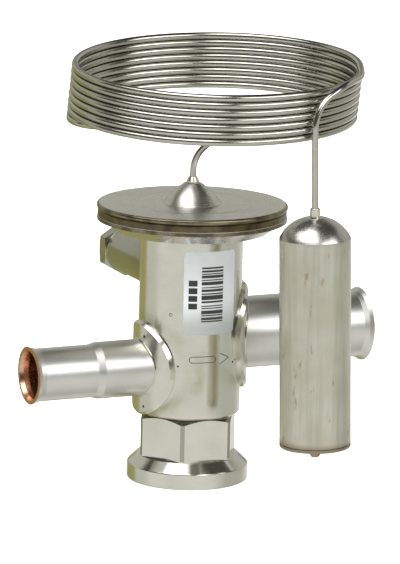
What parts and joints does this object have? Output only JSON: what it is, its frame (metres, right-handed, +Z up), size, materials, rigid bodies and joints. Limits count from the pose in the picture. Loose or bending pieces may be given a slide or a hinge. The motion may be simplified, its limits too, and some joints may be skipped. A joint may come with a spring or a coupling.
{
  "type": "thermostatic expansion valve",
  "caption": "Hermetic thermostatic expansion valve with a flat power head, coiled capillary and bulb, in-line solder sockets, a side equaliser connector and a hexagon seal cap.",
  "frame": {"origin": "centre of the seal cap's flat underside, on the valve's axis", "axes": "+Z up the valve's axis, +X out of the outlet socket, -X out of the inlet socket, +Y out of the equaliser connector; the label faces -Y"},
  "size_m": [0.1286, 0.131, 0.1532],
  "materials": {
    "body_steel": "satin nickel-bright stainless, turned",
    "cap_steel": "satin turned bar",
    "collar_steel": "bright, heat marked at the joint",
    "tube_steel": "bright drawn tube",
    "connector_steel": "satin turned bar",
    "head_steel": "dull pressed sheet with faint turned rings",
    "head_edge_steel": "weld-tinted edge",
    "bulb_steel": "drawn sheet with faint brown marks",
    "capillary_steel": "bright drawn fine tube",
    "inner_steel": "ground",
    "spring_steel": "wire",
    "liner_copper": "copper, lightly tinted by heat",
    "gasket_copper": "soft copper ring",
    "brass": "turned brass",
    "seal_rubber": "soft ring",
    "seal_plastic": "white fluoropolymer ring",
    "label_paper": "satin self-adhesive sheet with plain printed bars"
  },
  "bodies": {
    "valve": {"valve_body": "body_steel", "gland_nut": "brass", "spindle_seal": "seal_rubber", "orifice_seat": "inner_steel", "rod_guide": "brass", "rod_seal": "seal_plastic", "seal_retainer": "inner_steel", "lower_casing": "head_steel", "diaphragm": "inner_steel", "casing_ring": "head_edge_steel", "upper_casing": "head_steel", "head_ferrule": "tube_steel", "capillary_tube": "capillary_steel", "bulb_ferrule": "tube_steel", "bulb_shell": "bulb_steel", "bulb_end_plug": "bulb_steel", "bulb_fill_stem": "bulb_steel", "inlet_saddle": "collar_steel", "inlet_tube": "tube_steel", "inlet_copper_liner": "liner_copper", "outlet_saddle": "collar_steel", "outlet_tube": "tube_steel", "outlet_copper_liner": "liner_copper", "equalizer_connector": "connector_steel", "label": "label_paper"},
    "gasket": {"cap_gasket": "gasket_copper"},
    "cap": {"seal_cap": "cap_steel"},
    "spindle": {"adjusting_spindle": "inner_steel"},
    "spring_carriage": {"spring_seat": "brass", "superheat_spring": "spring_steel"},
    "stroke": {"cone_carrier": "inner_steel", "valve_cone": "inner_steel", "push_rod": "inner_steel", "thrust_pad": "inner_steel"}
  },
  "joints": [
    {"name": "cap_travel", "type": "slide", "parent": "valve", "child": "gasket", "axis": [0, 0, 1], "range_m": [-0.0145, 0]},
    {"name": "cap_turn", "type": "hinge", "parent": "gasket", "child": "cap", "pos_m": [0, 0, 0], "axis": [0, 0, 1], "range_deg": [-3420, 0]},
    {"name": "spindle_turn", "type": "hinge", "parent": "valve", "child": "spindle", "pos_m": [0, 0, 0.01], "axis": [0, 0, 1], "range_deg": [-720, 1080]},
    {"name": "seat_travel", "type": "slide", "parent": "valve", "child": "spring_carriage", "axis": [0, 0, 1], "range_m": [-0.0021, 0.0031], "deforming": ["superheat_spring"]},
    {"name": "valve_stroke", "type": "slide", "parent": "valve", "child": "stroke", "axis": [0, 0, 1], "range_m": [-0.0012, 0], "stiffness_N_per_m": 3000, "springref_m": 0.002}
  ],
  "couplings": [
    {"joint": "cap_travel", "follows": "cap_turn", "m_per_rad": 0.00023873},
    {"joint": "seat_travel", "follows": "spindle_turn", "m_per_rad": 0.00015915}
  ]
}
